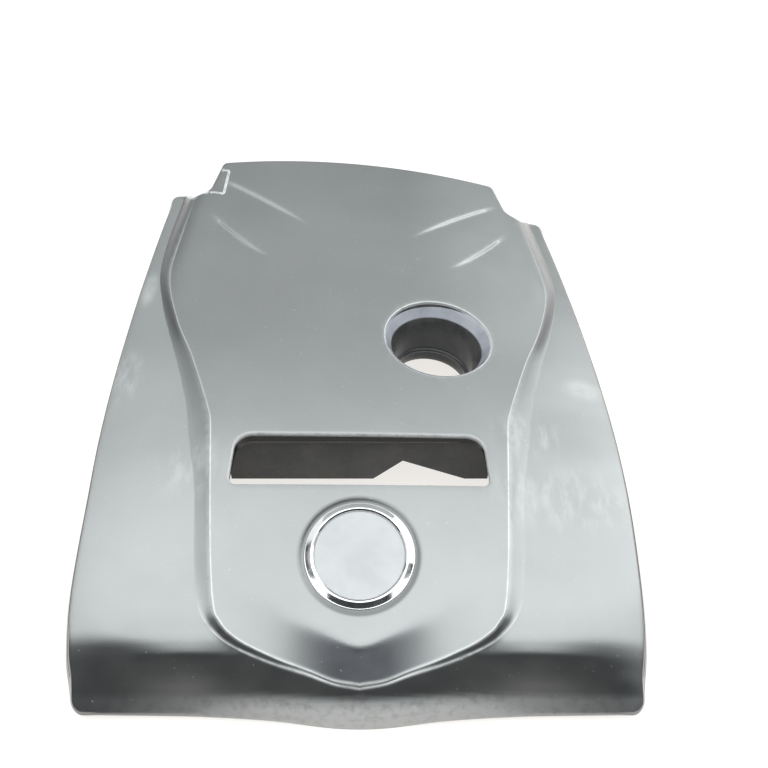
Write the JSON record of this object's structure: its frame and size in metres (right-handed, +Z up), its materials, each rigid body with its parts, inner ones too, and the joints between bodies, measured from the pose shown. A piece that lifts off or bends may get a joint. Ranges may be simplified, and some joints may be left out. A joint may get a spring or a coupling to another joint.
{
  "type": "engine cover",
  "caption": "Engine top cover moulded in dark satin plastic: raised shield-pointed panel, long slot, round oil-filler well, round badge, and ball-stud grommets underneath.",
  "frame": {"origin": "centre of the bounding box at the floor the cover stands on", "axes": "+X to the right seen from the front lip, +Y from the front lip to the rear edge, +Z up"},
  "size_m": [0.441, 0.585, 0.1262],
  "materials": {
    "cover_plastic": "satin, grained, scuffed and dusty",
    "badge_chrome": "bright plated",
    "badge_silver": "satin silver",
    "grommet_rubber": "matt"
  },
  "bodies": {
    "root": {"cover_shell": "cover_plastic", "badge_ring": "badge_chrome", "badge_disc": "badge_silver", "grommet_front_left": "grommet_rubber", "grommet_front_right": "grommet_rubber", "grommet_rear_left": "grommet_rubber", "grommet_rear_right": "grommet_rubber"}
  },
  "joints": []
}
